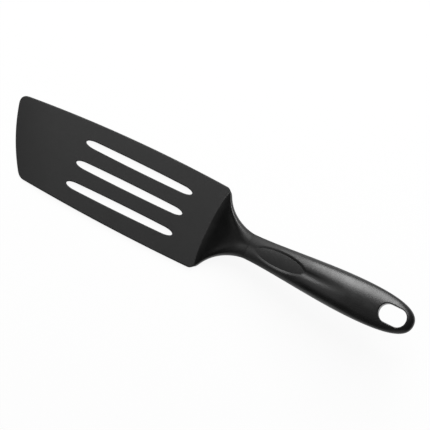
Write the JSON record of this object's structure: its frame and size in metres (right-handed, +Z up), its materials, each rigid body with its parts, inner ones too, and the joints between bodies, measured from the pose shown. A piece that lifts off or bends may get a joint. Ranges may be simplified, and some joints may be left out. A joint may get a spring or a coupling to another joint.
{
  "type": "slotted spatula",
  "caption": "Long slotted kitchen turner: thin blade with a slanted front edge, bent-up flared neck and a hollow rounded handle with a thumb rest and hanging hole.",
  "frame": {"origin": "on the flat underside of the blade, on the tool's long axis, in the strip between the slots and the heel", "axes": "+X along the tool from the blade to the tail of the handle, +Y to the long side of the slanted blade, +Z up out of the blade's upper face"},
  "size_m": [0.3306, 0.0676, 0.05],
  "materials": {
    "head_nylon": "fine matt moulded nylon",
    "handle_plastic": "satin moulded plastic",
    "pad_rubber": "soft matt",
    "pin_steel": "ground"
  },
  "bodies": {
    "root": {"slotted_head": "head_nylon", "handle_upper_shell": "handle_plastic", "handle_lower_shell": "handle_plastic", "thumb_rest_pad": "pad_rubber", "front_tang_pin": "pin_steel", "rear_tang_pin": "pin_steel"}
  },
  "joints": []
}
